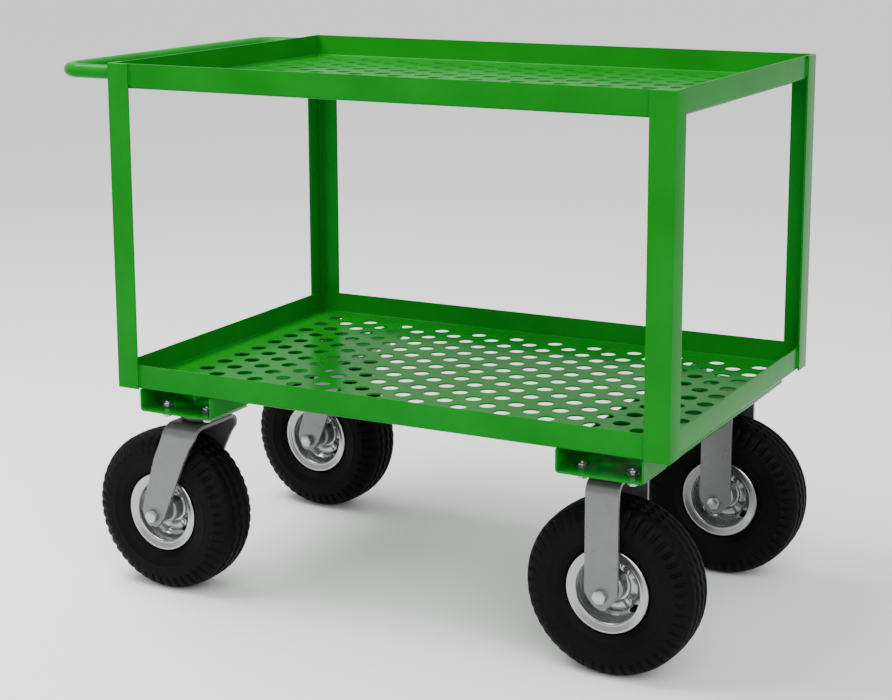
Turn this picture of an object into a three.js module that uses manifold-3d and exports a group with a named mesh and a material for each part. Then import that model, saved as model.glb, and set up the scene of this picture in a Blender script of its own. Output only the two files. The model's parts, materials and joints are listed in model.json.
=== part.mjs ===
// Two-deck garden cart: perforated sheet-metal decks welded between four angle posts, a tubular
// push handle, and four pneumatic casters bolted through two channels under the lower deck.
// Millimetres, +Z up, +X away from the handle, origin on the floor under the middle of the cart.
import * as THREE from "three";
import { mergeGeometries, mergeVertices } from "three/addons/utils/BufferGeometryUtils.js";
import Module from "manifold-3d";

const wasm = await Module();
wasm.setup();

// ---- driving dimensions ----------------------------------------------------------------------

const gap = 0.3; // air left between separate pieces that seat on each other

// frame
const frameLength = 920.75; // over the posts, along X
const frameWidth = 615.95; // over the posts, along Y
const postLength = 508;
const postFlange = 38.1;
const postWall = 3.2;

// decks
const deckSheet = 2.7;
const deckLip = 38.1;
const deckBend = 5.2; // outside radius of the folded edge
const holeDiameter = 25.4;
const holeMarginX = 57.575; // from the deck's ends to the first and last columns of holes
const holeMarginY = 50.475; // from the deck's sides to the outer holes of the fuller columns
const holeColumns = 23;
const holeRows = 11; // in the fuller columns

// push handle
const handleTube = 22.2; // tube diameter
const handleReach = 114.3; // from the posts to the outside of the crossbar
const handleBend = 38; // centreline radius of the two corners
const handleDrop = 16; // from the post tops down to the tube axis

// caster channels
const channelWidth = 133.35;
const channelHeight = 34.9;
const channelWall = 3.4;
const channelBend = 5.4;
const channelInset = 38.1; // from the posts' outer faces to the channel

// casters
const casterHeadroom = 44.8; // from the tyre's top up to the caster's mounting face
const casterInset = 73; // from the frame's side to the caster's centre
const plateLength = 114.3; // along X
const plateWidth = 101.6; // along Y
const plateThickness = 6.35;
const boltSpacingX = 76.2;
const boltSpacingY = 76.2;
const boltDiameter = 7.9;
const boltHeadHeight = 5.2;
const nutHeight = 6.8;
const hexWidth = 12.7; // across the flats
const forkSheet = 6.35;
const forkBend = 20; // outside radius of the fork's shoulders
const tyreClearance = 6.5; // from the tyre's side to the fork leg
const forkTip = 18; // from the axle's axis down to the fork's tip
const rigidLegWidth = 51;
const swivelLegWidth = 44;
const crownWidth = 62;
const swivelTrail = 57; // kingpin axis to axle axis
const raceHeight = 12.7;
const raceDiameter = 68;
const kingpinDiameter = 12.7;
const rightSwivelRest = -2; // degrees from straight ahead
const leftSwivelRest = -3.5;

// wheels
const tyreDiameter = 260;
const tyreWidth = 90;
const tyreWall = 7.5;
const rimFlangeDiameter = 126.6;
const rimSeatDiameter = 101.6;
const rimWidth = 63; // between the flanges
const rimSheet = 2.2;
const rimCurl = 4.6; // width of the rolled rim edge
const hubDiameter = 40;
const hubEndDiameter = 30;
const hubEndGap = 5; // from the hub's end to the fork leg
const axleDiameter = 12.7;
const sleeveDiameter = 17;
const axleHex = 19;
const axleHeadHeight = 8;
const valveDiameter = 8;
const valveLength = 27;
const wheelSides = 16; // flats around tyres and rims, which must match to nest

// ---- finishes --------------------------------------------------------------------------------

const powderCoat = { color: 0x008c0a, roughness: 0.25, metalness: 0.0 };
const zinc = { color: 0x9a9c9e, roughness: 0.4, metalness: 0.9 };
const brightZinc = { color: 0xc8cacb, roughness: 0.2, metalness: 1.0 };
const rubber = { color: 0x101011, roughness: 0.7, metalness: 0.0 };
const darkSteel = { color: 0x6f7072, roughness: 0.45, metalness: 0.9 };

// ---- geometry helpers ------------------------------------------------------------------------

// A closed three.js geometry as a manifold solid, turned right side out.
function solid(geometry) {
  const bare = geometry.clone();
  for (const key of Object.keys(bare.attributes)) {
    if (key !== "position") bare.deleteAttribute(key);
  }
  const merged = mergeVertices(bare, 1e-4);
  const position = merged.attributes.position;
  const source = merged.index.array;
  const triangles = [];
  let volume = 0;
  const a = new THREE.Vector3();
  const b = new THREE.Vector3();
  const c = new THREE.Vector3();
  for (let i = 0; i < source.length; i += 3) {
    const [p, q, r] = [source[i], source[i + 1], source[i + 2]];
    if (p === q || q === r || r === p) continue;
    a.fromBufferAttribute(position, p);
    b.fromBufferAttribute(position, q);
    c.fromBufferAttribute(position, r);
    volume += a.dot(b.cross(c));
    triangles.push(p, q, r);
  }
  if (volume < 0) triangles.reverse();
  return new wasm.Manifold(
    new wasm.Mesh({
      numProp: 3,
      vertProperties: new Float32Array(position.array),
      triVerts: new Uint32Array(triangles),
    }),
  );
}

// The solid's surface as a three.js geometry.
function surface(body) {
  const mesh = body.getMesh();
  const stride = mesh.numProp;
  const count = mesh.vertProperties.length / stride;
  const positions = new Float32Array(count * 3);
  for (let i = 0; i < count; i += 1) {
    for (let k = 0; k < 3; k += 1) positions[3 * i + k] = mesh.vertProperties[i * stride + k];
  }
  const geometry = new THREE.BufferGeometry();
  geometry.setAttribute("position", new THREE.BufferAttribute(positions, 3));
  geometry.setIndex(new THREE.BufferAttribute(new Uint32Array(mesh.triVerts), 1));
  geometry.computeVertexNormals();
  return geometry;
}

// One named piece, placed at (x, y, z).
function piece(name, body, finish, x = 0, y = 0, z = 0) {
  const mesh = new THREE.Mesh(surface(body), new THREE.MeshStandardMaterial(finish));
  mesh.name = name;
  mesh.position.set(x, y, z);
  return mesh;
}

function outline(points) {
  return new THREE.Shape(points.map(([x, y]) => new THREE.Vector2(x, y)));
}

function prism(points, depth) {
  return new THREE.ExtrudeGeometry(outline(points), { depth, bevelEnabled: false, curveSegments: 1 });
}

// A (y, z) outline drawn out along X, centred on x = 0.
function alongX(points, depth) {
  const turn = new THREE.Matrix4().set(0, 0, 1, 0, 1, 0, 0, 0, 0, 1, 0, 0, 0, 0, 0, 1);
  const geometry = prism(points, depth).applyMatrix4(turn);
  return solid(geometry.translate(-depth / 2, 0, 0));
}

// An (x, z) outline drawn out along Y, centred on y = 0.
function alongY(points, depth) {
  const geometry = prism(points, depth).rotateX(Math.PI / 2);
  return solid(geometry.translate(0, depth / 2, 0));
}

function block(x0, x1, y0, y1, z0, z1) {
  const geometry = new THREE.BoxGeometry(x1 - x0, y1 - y0, z1 - z0);
  return solid(geometry.translate((x0 + x1) / 2, (y0 + y1) / 2, (z0 + z1) / 2));
}

// (radius, height) profile turned about Z.
function turned(profile, segments) {
  const points = profile.map(([r, h]) => new THREE.Vector2(r, h));
  return solid(new THREE.LatheGeometry(points, segments).rotateX(Math.PI / 2));
}

// (radius, y) profile turned about Y, the direction of a straight wheel's axle.
function turnedWheel(profile, segments) {
  const points = profile.map(([r, y]) => new THREE.Vector2(r, y));
  return solid(new THREE.LatheGeometry(points, segments));
}

function closed(profile) {
  return [...profile, profile[0]];
}

// Points on an arc from one angle to another, in degrees.
function arc(cx, cy, radius, from, to, steps) {
  const points = [];
  for (let i = 0; i <= steps; i += 1) {
    const angle = THREE.MathUtils.degToRad(from + ((to - from) * i) / steps);
    points.push([cx + radius * Math.cos(angle), cy + radius * Math.sin(angle)]);
  }
  return points;
}

function hexRadius(acrossFlats) {
  return acrossFlats / Math.sqrt(3);
}

// ---- heights and centres that follow from the sizes above ------------------------------------

const mountHeight = tyreDiameter + casterHeadroom; // floor to the caster's mounting face
const frontOverhang = Math.max(0, tyreDiameter / 2 - channelInset - channelWidth / 2);
const xMiddle = (handleReach - frontOverhang) / 2; // the frame's middle, with the whole cart centred
const xBack = xMiddle - frameLength / 2;
const xFront = xMiddle + frameLength / 2;
const yRight = -frameWidth / 2;
const yLeft = frameWidth / 2;
const lowerFloor = mountHeight + channelHeight + gap; // underside of the lower deck
const postTop = lowerFloor + postLength;
const upperFloor = postTop - deckLip; // underside of the upper deck
const wheelRadius = tyreDiameter / 2;
const forkInside = tyreWidth + 2 * tyreClearance;

const cart = new THREE.Group();

// ---- posts -----------------------------------------------------------------------------------

// An angle section with its outer corner at the origin and its flanges along +x and +y.
function angleSection(xSign, ySign) {
  const f = postFlange;
  const w = postWall;
  const points = [[0, 0], [f, 0], [f, w], [w, w], [w, f], [0, f]];
  return points.map(([x, y]) => [x * xSign, y * ySign]);
}

function post(name, x, y, xSign, ySign) {
  const body = solid(prism(angleSection(xSign, ySign), postLength));
  cart.add(piece(name, body, powderCoat, x, y, lowerFloor));
}

post("post_rear_right", xBack, yRight, 1, 1);
post("post_rear_left", xBack, yLeft, 1, -1);
post("post_front_right", xFront, yRight, -1, 1);
post("post_front_left", xFront, yLeft, -1, -1);

// ---- decks -----------------------------------------------------------------------------------

const deckLength = frameLength - 2 * (postWall + gap);
const deckWidth = frameWidth - 2 * (postWall + gap);
const holePitchX = (deckLength - 2 * holeMarginX) / (holeColumns - 1);
const holePitchY = (deckWidth - 2 * holeMarginY) / (holeRows - 1); // neighbours staggered by half

// Cross-section of a tray with folded bottom edges.
function traySection(width, height, bend, bottom) {
  const half = width / 2;
  return [
    [-half, height],
    ...arc(-half + bend, bottom + bend, bend, 180, 270, 3),
    ...arc(half - bend, bottom + bend, bend, 270, 360, 3),
    [half, height],
  ];
}

function trayBlock(length, width, height, bend, bottom) {
  const lengthwise = alongX(traySection(width, height, bend, bottom), length);
  const crosswise = alongY(traySection(length, height, bend, bottom), width);
  return lengthwise.intersect(crosswise);
}

function deckBody() {
  const outside = trayBlock(deckLength, deckWidth, deckLip, deckBend, 0);
  const insideLength = deckLength - 2 * deckSheet;
  const insideWidth = deckWidth - 2 * deckSheet;
  const innerBend = deckBend - deckSheet;
  const inside = trayBlock(insideLength, insideWidth, deckLip + 5, innerBend, deckSheet);
  return outside.subtract(inside).subtract(deckHoles());
}

// Staggered columns of punched holes, centred on the deck.
function deckHoles() {
  const punches = [];
  for (let i = 0; i < holeColumns; i += 1) {
    const x = (i - (holeColumns - 1) / 2) * holePitchX;
    const rows = i % 2 === 0 ? holeRows : holeRows - 1;
    for (let j = 0; j < rows; j += 1) {
      const y = (j - (rows - 1) / 2) * holePitchY;
      const punch = new THREE.CylinderGeometry(holeDiameter / 2, holeDiameter / 2, 4 * deckSheet, 6);
      punches.push(punch.rotateX(Math.PI / 2).translate(x, y, deckSheet / 2));
    }
  }
  return solid(mergeGeometries(punches));
}

cart.add(piece("upper_deck", deckBody(), powderCoat, xMiddle, 0, upperFloor));
cart.add(piece("lower_deck", deckBody(), powderCoat, xMiddle, 0, lowerFloor));

// ---- push handle -----------------------------------------------------------------------------

// A path given by stations, each a point and the tube's direction there.
class StationPath extends THREE.Curve {
  constructor(stations) {
    super();
    this.stations = stations;
  }

  station(t) {
    return this.stations[Math.round(t * (this.stations.length - 1))];
  }

  getPoint(t) {
    return this.station(t).point.clone();
  }

  getPointAt(t) {
    return this.getPoint(t);
  }

  getTangentAt(t) {
    return this.station(t).direction.clone();
  }
}

function handleStations() {
  const outX = -(handleReach - handleTube / 2); // crossbar axis, from the posts
  const armY = frameWidth / 2 - postFlange / 2;
  const centreX = outX + handleBend;
  const centreY = armY - handleBend;
  const stations = [];
  const add = (x, y, dx, dy) => {
    stations.push({ point: new THREE.Vector3(x, y, 0), direction: new THREE.Vector3(dx, dy, 0) });
  };
  const cornerSteps = 5;
  add(-gap, -armY, -1, 0);
  for (let i = 0; i <= cornerSteps; i += 1) {
    const angle = ((Math.PI / 2) * i) / cornerSteps;
    const [s, c] = [Math.sin(angle), Math.cos(angle)];
    add(centreX - handleBend * s, -centreY - handleBend * c, -c, s);
  }
  for (let i = 0; i <= cornerSteps; i += 1) {
    const angle = ((Math.PI / 2) * i) / cornerSteps;
    const [s, c] = [Math.sin(angle), Math.cos(angle)];
    add(centreX - handleBend * c, centreY + handleBend * s, s, c);
  }
  add(-gap, armY, 1, 0);
  return stations;
}

const tubeSection = outline(arc(0, 0, handleTube / 2, 0, 330, 11));
const handleGeometry = new THREE.ExtrudeGeometry(tubeSection, {
  steps: handleStations().length - 1,
  extrudePath: new StationPath(handleStations()),
});
cart.add(piece("push_handle", solid(handleGeometry), powderCoat, xBack, 0, postTop - handleDrop));

// ---- caster channels -------------------------------------------------------------------------

const channelLength = deckWidth;
const rearChannelX = xBack + channelInset + channelWidth / 2;
const frontChannelX = xFront - channelInset - channelWidth / 2;
const casterY = frameWidth / 2 - casterInset;
const boltX = boltSpacingX / 2;
const boltY = boltSpacingY / 2;
const boltPositions = [[-boltX, -boltY], [-boltX, boltY], [boltX, -boltY], [boltX, boltY]];

function boltHoles(x, y, z, height) {
  const radius = boltDiameter / 2 + 2 * gap;
  const drills = boltPositions.map(([dx, dy]) => {
    const drill = new THREE.CylinderGeometry(radius, radius, height, 8);
    return drill.rotateX(Math.PI / 2).translate(x + dx, y + dy, z);
  });
  return solid(mergeGeometries(drills));
}

function channelBody() {
  const outside = traySection(channelWidth, channelHeight, channelBend, 0);
  const inner = channelBend - channelWall;
  const inside = traySection(channelWidth - 2 * channelWall, channelHeight + 5, inner, channelWall);
  const shell = alongY(outside, channelLength).subtract(alongY(inside, channelLength + 10));
  const drilled = shell.subtract(boltHoles(0, casterY, channelWall / 2, 4 * channelWall));
  return drilled.subtract(boltHoles(0, -casterY, channelWall / 2, 4 * channelWall));
}

cart.add(piece("rear_caster_channel", channelBody(), powderCoat, rearChannelX, 0, mountHeight));
cart.add(piece("front_caster_channel", channelBody(), powderCoat, frontChannelX, 0, mountHeight));

// ---- caster hardware -------------------------------------------------------------------------

const plateTop = mountHeight - gap;
const plateBottom = plateTop - plateThickness;
const forkOutside = forkInside + 2 * forkSheet;
const swivelCrownTop = plateBottom - gap - raceHeight - gap;

function mountingPlate() {
  const halfX = plateLength / 2;
  const halfY = plateWidth / 2;
  const plate = block(-halfX, halfX, -halfY, halfY, plateBottom, plateTop);
  return plate.subtract(boltHoles(0, 0, plateTop - plateThickness / 2, 4 * plateThickness));
}

// Bolt, washer and nut through the plate and the channel's floor.
function mountingBolt() {
  const head = hexRadius(hexWidth);
  const shank = boltDiameter / 2;
  const headTop = plateBottom - gap;
  const nutBottom = mountHeight + channelWall + gap;
  const profile = [
    [0, headTop - boltHeadHeight],
    [head, headTop - boltHeadHeight],
    [head, headTop],
    [shank, headTop],
    [shank, nutBottom],
    [head, nutBottom],
    [head, nutBottom + nutHeight],
    [0, nutBottom + nutHeight + 2],
  ];
  return turned(profile, 6);
}

// U-shaped strap seen along X: two legs joined by a crown with round shoulders.
function strapSection(top) {
  const outer = forkOutside / 2;
  const inner = forkInside / 2;
  const bottom = wheelRadius - forkTip - 10;
  const inside = forkBend - forkSheet;
  const centre = outer - forkBend;
  return [
    [-outer, bottom],
    [-inner, bottom],
    ...arc(-centre, top - forkBend, inside, 180, 90, 4),
    ...arc(centre, top - forkBend, inside, 90, 0, 4),
    [inner, bottom],
    [outer, bottom],
    ...arc(centre, top - forkBend, forkBend, 0, 90, 4),
    ...arc(-centre, top - forkBend, forkBend, 90, 180, 4),
  ];
}

function axleHoles(x) {
  const radius = axleDiameter / 2 + gap;
  const drill = new THREE.CylinderGeometry(radius, radius, forkOutside + 20, 12);
  return solid(drill.translate(x, 0, wheelRadius));
}

function rigidFork() {
  const top = plateBottom + 1;
  const half = rigidLegWidth / 2;
  const tip = 10;
  const side = [
    [-half, top],
    [-half, wheelRadius + 3],
    [-tip, wheelRadius - forkTip],
    [tip, wheelRadius - forkTip],
    [half, wheelRadius + 3],
    [half, top],
  ];
  const strap = alongX(strapSection(top), 4 * half).intersect(alongY(side, 2 * forkOutside));
  return strap.add(mountingPlate()).subtract(axleHoles(0));
}

function swivelFork() {
  const top = swivelCrownTop;
  const half = swivelLegWidth / 2;
  const crown = crownWidth / 2;
  const tip = 10;
  const side = [
    [-crown, top],
    [-crown - 4, top - 0.7 * forkBend],
    [-crown - 10, top - 1.7 * forkBend],
    [-swivelTrail - half, wheelRadius + 8],
    [-swivelTrail - tip - 4, wheelRadius - forkTip],
    [-swivelTrail + tip - 4, wheelRadius - forkTip],
    [-swivelTrail + half, wheelRadius],
    [crown - 26, top - 3 * forkBend],
    [crown - 12, top - 1.4 * forkBend],
    [crown, top - 0.7 * forkBend],
    [crown, top],
  ];
  const reach = 4 * (swivelTrail + crown);
  const strap = alongX(strapSection(top), reach).intersect(alongY(side, 2 * forkOutside));
  const radius = kingpinDiameter / 2 + gap;
  const bore = new THREE.CylinderGeometry(radius, radius, 4 * forkSheet, 12).rotateX(Math.PI / 2);
  return strap.subtract(axleHoles(-swivelTrail)).subtract(solid(bore.translate(0, 0, top)));
}

function swivelPlate() {
  const radius = kingpinDiameter / 2 + gap;
  const bore = new THREE.CylinderGeometry(radius, radius, 4 * plateThickness, 12).rotateX(Math.PI / 2);
  return mountingPlate().subtract(solid(bore.translate(0, 0, plateTop)));
}

function ballRace() {
  const bottom = swivelCrownTop + gap;
  const top = bottom + raceHeight;
  const bore = kingpinDiameter / 2 + gap;
  const rim = raceDiameter / 2;
  const profile = [
    [bore, bottom],
    [rim - 6, bottom],
    [rim, bottom + 0.35 * raceHeight],
    [rim, bottom + 0.65 * raceHeight],
    [rim - 4, top],
    [bore, top],
  ];
  return turned(closed(profile), 14);
}

function kingpin() {
  const shank = kingpinDiameter / 2;
  const nut = hexRadius(hexWidth + 6);
  const nutTop = swivelCrownTop - forkSheet - gap;
  const profile = [
    [0, nutTop - 11],
    [shank, nutTop - 11],
    [shank, nutTop - 9],
    [nut, nutTop - 9],
    [nut, nutTop],
    [shank, nutTop],
    [shank, plateTop - gap],
    [0, plateTop - gap],
  ];
  return turned(profile, 12);
}

// Axle bolt with its spacer sleeve and nut, along the wheel's axis.
function axle() {
  const shaft = axleDiameter / 2;
  const sleeve = sleeveDiameter / 2;
  const head = hexRadius(axleHex);
  const inner = forkInside / 2 - gap;
  const outer = forkOutside / 2 + gap;
  const profile = [
    [0, -outer - axleHeadHeight],
    [head, -outer - axleHeadHeight],
    [head, -outer],
    [shaft, -outer],
    [shaft, -inner],
    [sleeve, -inner],
    [sleeve, inner],
    [shaft, inner],
    [shaft, outer],
    [head, outer],
    [head, outer + axleHeadHeight],
    [0, outer + axleHeadHeight + 3],
  ];
  return turnedWheel(profile, 10);
}

// ---- wheel pieces, about an axle at the origin ------------------------------------------------

const seat = rimSeatDiameter / 2;
const flange = rimFlangeDiameter / 2;
const bead = rimWidth / 2;
const hubBore = sleeveDiameter / 2 + 2 * gap;
const discBore = (hubDiameter / 2 + gap) / Math.cos(Math.PI / wheelSides);
const wellRadius = hubDiameter / 2 + 21;
const wellRise = 8;

// Tyre section from bead to bead, open towards the rim.
function tyre() {
  const half = tyreWidth / 2;
  const outer = wheelRadius;
  const foot = seat + gap;
  const side = bead - gap;
  const outside = [
    [foot, side],
    [flange + 1, side],
    [flange + 24, half],
    [outer - 18, half - 2],
    [outer - 4, half - 14],
    [outer, half - 30],
  ];
  const inside = [
    [outer - tyreWall - 3, half - 22],
    [flange + 25, half - tyreWall],
    [foot, side - 13],
  ];
  const ring = [
    ...outside,
    ...outside.map(([r, y]) => [r, -y]).reverse(),
    ...inside.map(([r, y]) => [r, -y]).reverse(),
    ...inside,
  ];
  return turnedWheel(closed(ring), wheelSides);
}

// One pressed rim half: mating disc, sloping well wall, bead seat and rolled flange.
function rimHalf(side) {
  const inner = bead;
  const edge = bead + rimCurl;
  const profile = [
    [discBore, gap / 2],
    [wellRadius, gap / 2],
    [seat, wellRise],
    [seat, inner],
    [flange, inner],
    [flange, edge],
    [flange - rimSheet, edge],
    [flange - rimSheet - 1, inner + rimSheet],
    [seat - rimSheet, inner + rimSheet],
    [seat - rimSheet, wellRise + 0.5 * rimSheet],
    [wellRadius - 1, rimSheet + gap / 2],
    [discBore, rimSheet + gap / 2],
  ];
  return turnedWheel(closed(profile.map(([r, y]) => [r, side * y])), wheelSides);
}

function valveHole() {
  const radius = valveDiameter / 2 + 2 * gap;
  const drill = new THREE.CylinderGeometry(radius, radius, 20, 8);
  return solid(drill.translate(valvePlace.x, -10, valvePlace.z));
}

const valveCircle = seat - rimSheet - valveDiameter / 2 - 4 * gap;
const valvePlace = { x: valveCircle * Math.sin(2.2), z: valveCircle * Math.cos(2.2) };

function valveStem() {
  const radius = valveDiameter / 2;
  const profile = [
    [0, 0],
    [radius, 0],
    [radius, -0.6 * valveLength],
    [0.7 * radius, -0.65 * valveLength],
    [0.7 * radius, -valveLength],
    [0, -valveLength],
  ];
  const points = profile.map(([r, y]) => new THREE.Vector2(r, y));
  const stem = new THREE.LatheGeometry(points, 8);
  return solid(stem.translate(valvePlace.x, -gap, valvePlace.z));
}

function hub() {
  const half = forkInside / 2 - hubEndGap;
  const shoulder = 0.55 * half;
  const end = hubEndDiameter / 2;
  const barrel = hubDiameter / 2;
  const profile = [
    [hubBore, -half],
    [end, -half],
    [end, -shoulder],
    [barrel, -shoulder],
    [barrel, shoulder],
    [end, shoulder],
    [end, half],
    [hubBore, half],
  ];
  return turnedWheel(closed(profile), 12);
}

// A whole wheel and its axle; the outboard side faces the near side of the cart.
function addWheel(group, place) {
  const outboard = rimHalf(-1).subtract(valveHole());
  group.add(piece(`${place}_tyre`, tyre(), rubber));
  group.add(piece(`${place}_rim_outboard`, outboard, brightZinc));
  group.add(piece(`${place}_rim_inboard`, rimHalf(1), brightZinc));
  group.add(piece(`${place}_hub`, hub(), darkSteel));
  group.add(piece(`${place}_valve_stem`, valveStem(), rubber));
  group.add(piece(`${place}_axle`, axle(), zinc));
}

// ---- casters ---------------------------------------------------------------------------------

function addBolts(place, x, y) {
  boltPositions.forEach(([dx, dy], i) => {
    cart.add(piece(`${place}_bolt_${i + 1}`, mountingBolt(), zinc, x + dx, y + dy, 0));
  });
}

function rigidCaster(place, x, y) {
  cart.add(piece(`${place}_fork`, rigidFork(), zinc, x, y, 0));
  const wheel = new THREE.Group();
  wheel.position.set(x, y, wheelRadius);
  addWheel(wheel, place);
  cart.add(wheel);
  addBolts(place, x, y);
}

function swivelCaster(place, x, y, rest) {
  cart.add(piece(`${place}_top_plate`, swivelPlate(), zinc, x, y, 0));
  cart.add(piece(`${place}_kingpin`, kingpin(), zinc, x, y, 0));
  const swivel = new THREE.Group();
  swivel.position.set(x, y, 0);
  swivel.rotation.z = THREE.MathUtils.degToRad(rest);
  swivel.add(piece(`${place}_ball_race`, ballRace(), zinc));
  swivel.add(piece(`${place}_fork`, swivelFork(), zinc));
  const wheel = new THREE.Group();
  wheel.position.set(-swivelTrail, 0, wheelRadius);
  addWheel(wheel, place);
  swivel.add(wheel);
  cart.add(swivel);
  addBolts(place, x, y);
}

swivelCaster("rear_right", rearChannelX, -casterY, rightSwivelRest);
swivelCaster("rear_left", rearChannelX, casterY, leftSwivelRest);
rigidCaster("front_right", frontChannelX, -casterY);
rigidCaster("front_left", frontChannelX, casterY);

export default cart;
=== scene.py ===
import json
import math

import bmesh
import bpy
from mathutils import Matrix, Vector


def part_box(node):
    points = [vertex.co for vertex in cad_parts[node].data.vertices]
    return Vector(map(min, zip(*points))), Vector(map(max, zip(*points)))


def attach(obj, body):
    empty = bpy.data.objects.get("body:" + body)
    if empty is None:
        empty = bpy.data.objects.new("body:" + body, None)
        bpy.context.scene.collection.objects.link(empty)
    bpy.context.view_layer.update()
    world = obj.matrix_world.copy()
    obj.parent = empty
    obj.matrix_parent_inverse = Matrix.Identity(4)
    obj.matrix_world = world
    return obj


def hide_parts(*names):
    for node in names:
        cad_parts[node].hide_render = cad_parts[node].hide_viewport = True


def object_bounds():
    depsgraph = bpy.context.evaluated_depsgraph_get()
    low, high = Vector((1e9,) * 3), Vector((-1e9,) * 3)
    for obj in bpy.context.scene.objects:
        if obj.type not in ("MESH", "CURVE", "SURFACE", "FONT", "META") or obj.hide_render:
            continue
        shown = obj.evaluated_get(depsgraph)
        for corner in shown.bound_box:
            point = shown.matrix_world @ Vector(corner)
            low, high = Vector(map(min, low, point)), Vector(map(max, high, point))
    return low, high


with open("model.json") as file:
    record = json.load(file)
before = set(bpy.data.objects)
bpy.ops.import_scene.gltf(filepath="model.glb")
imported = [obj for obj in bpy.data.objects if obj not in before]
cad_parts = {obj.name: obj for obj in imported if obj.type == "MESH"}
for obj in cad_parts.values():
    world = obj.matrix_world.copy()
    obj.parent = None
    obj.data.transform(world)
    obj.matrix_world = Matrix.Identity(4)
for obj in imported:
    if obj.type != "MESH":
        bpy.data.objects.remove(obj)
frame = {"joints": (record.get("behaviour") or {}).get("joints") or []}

cad_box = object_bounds()


# ---- corner posts --------------------------------------------------------------------------
# Four hot-rolled steel angles, sawn to length and welded outside the deck corners.
# Everything welded into the frame shares their gloss green powder coat.

def powder_coat():
    paint = bpy.data.materials.new("green_powder_coat")
    paint.use_nodes = True
    nodes, links = paint.node_tree.nodes, paint.node_tree.links
    shader = nodes["Principled BSDF"]
    place = nodes.new("ShaderNodeTexCoord")
    # slow drift of film thickness, seen as a slightly deeper and lighter green
    drift = nodes.new("ShaderNodeTexNoise")
    drift.inputs["Scale"].default_value = 7.0
    drift.inputs["Detail"].default_value = 3.0
    links.new(place.outputs["Object"], drift.inputs["Vector"])
    green = nodes.new("ShaderNodeValToRGB")
    green.color_ramp.elements[0].position = 0.35
    green.color_ramp.elements[0].color = (0.0, 0.142, 0.007, 1)
    green.color_ramp.elements[1].position = 0.7
    green.color_ramp.elements[1].color = (0.0, 0.172, 0.010, 1)
    links.new(drift.outputs["Fac"], green.inputs["Fac"])
    links.new(green.outputs["Color"], shader.inputs["Base Color"])
    # orange peel of a sprayed and baked film
    peel = nodes.new("ShaderNodeTexNoise")
    peel.inputs["Scale"].default_value = 420.0
    peel.inputs["Detail"].default_value = 2.0
    links.new(place.outputs["Object"], peel.inputs["Vector"])
    ripple = nodes.new("ShaderNodeBump")
    ripple.inputs["Strength"].default_value = 0.10
    ripple.inputs["Distance"].default_value = 0.0004
    links.new(peel.outputs["Fac"], ripple.inputs["Height"])
    links.new(ripple.outputs["Normal"], shader.inputs["Normal"])
    sheen = nodes.new("ShaderNodeMapRange")
    sheen.inputs["To Min"].default_value = 0.17
    sheen.inputs["To Max"].default_value = 0.26
    links.new(drift.outputs["Fac"], sheen.inputs["Value"])
    links.new(sheen.outputs["Result"], shader.inputs["Roughness"])
    shader.inputs["Specular IOR Level"].default_value = 0.05
    return paint


green_paint = powder_coat()


def finish_piece(bm, name, material, body, nodes, sharp=40.0):
    bmesh.ops.remove_doubles(bm, verts=bm.verts, dist=1e-6)
    bmesh.ops.recalc_face_normals(bm, faces=bm.faces)
    mesh = bpy.data.meshes.new(name)
    bm.to_mesh(mesh)
    bm.free()
    mesh.polygons.foreach_set("use_smooth", [True] * len(mesh.polygons))
    mesh.set_sharp_from_angle(angle=math.radians(sharp))
    mesh.materials.append(material)
    piece = bpy.data.objects.new(name, mesh)
    bpy.context.scene.collection.objects.link(piece)
    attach(piece, body)
    if nodes:
        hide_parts(*nodes)
    return piece


def moved_vertices(result):
    return [v for v in result["geom"] if isinstance(v, bmesh.types.BMVert)]


def angle_post(node, name):
    low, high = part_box(node)
    flange, wall = high.x - low.x, 0.0032
    x_way = 1 if low.x < (cad_box[0].x + cad_box[1].x) / 2 else -1
    y_way = 1 if low.y < 0 else -1
    heel = (low.x if x_way > 0 else high.x, low.y if y_way > 0 else high.y)
    bm = bmesh.new()
    outline = [(0, 0), (flange, 0), (flange, wall), (wall, wall), (wall, flange), (0, flange)]
    section = bm.faces.new([bm.verts.new((x, y, 0)) for x, y in outline])
    top = moved_vertices(bmesh.ops.extrude_face_region(bm, geom=[section]))
    bmesh.ops.translate(bm, verts=top, vec=(0, 0, high.z - low.z))

    def long_edges(points):
        found = []
        for e in bm.edges:
            a, b = e.verts
            upright = abs(a.co.z - b.co.z) > 0.1
            if upright and any(abs(a.co.x - x) < 1e-5 and abs(a.co.y - y) < 1e-5 for x, y in points):
                found.append(e)
        return found

    bevel = dict(affect="EDGES", profile=0.5, material=-1)
    bmesh.ops.bevel(bm, geom=long_edges([(wall, wall)]), offset=0.0035, segments=4, **bevel)
    bmesh.ops.bevel(bm, geom=long_edges([(0, 0)]), offset=0.0012, segments=3, **bevel)
    toes = [(flange, wall), (wall, flange)]
    bmesh.ops.bevel(bm, geom=long_edges(toes), offset=0.0016, segments=3, **bevel)
    saw_cut = [e for e in bm.edges if abs(e.verts[0].co.z - e.verts[1].co.z) < 1e-6]
    bmesh.ops.bevel(bm, geom=saw_cut, offset=0.0004, segments=1, **bevel)
    bmesh.ops.scale(bm, verts=bm.verts, vec=(x_way, y_way, 1))
    bmesh.ops.translate(bm, verts=bm.verts, vec=(heel[0], heel[1], low.z))
    return finish_piece(bm, name, green_paint, "frame", [node])


for end in ("rear", "front"):
    for side in ("right", "left"):
        angle_post(f"post_{end}_{side}", f"{end}_{side}_angle_post")


# ---- perforated decks ----------------------------------------------------------------------
# Two trays of steel sheet, punched with one inch holes in staggered columns, then folded up
# on all four sides into lips. The folds keep a small round, and the punched edges are eased.

hole_radius = 0.0127
column_pitch = 0.0363
row_pitch = 0.0508
columns_aside = 11  # on each side of the middle one
long_column_holes = 11
deck_sheet = 0.0027


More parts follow.
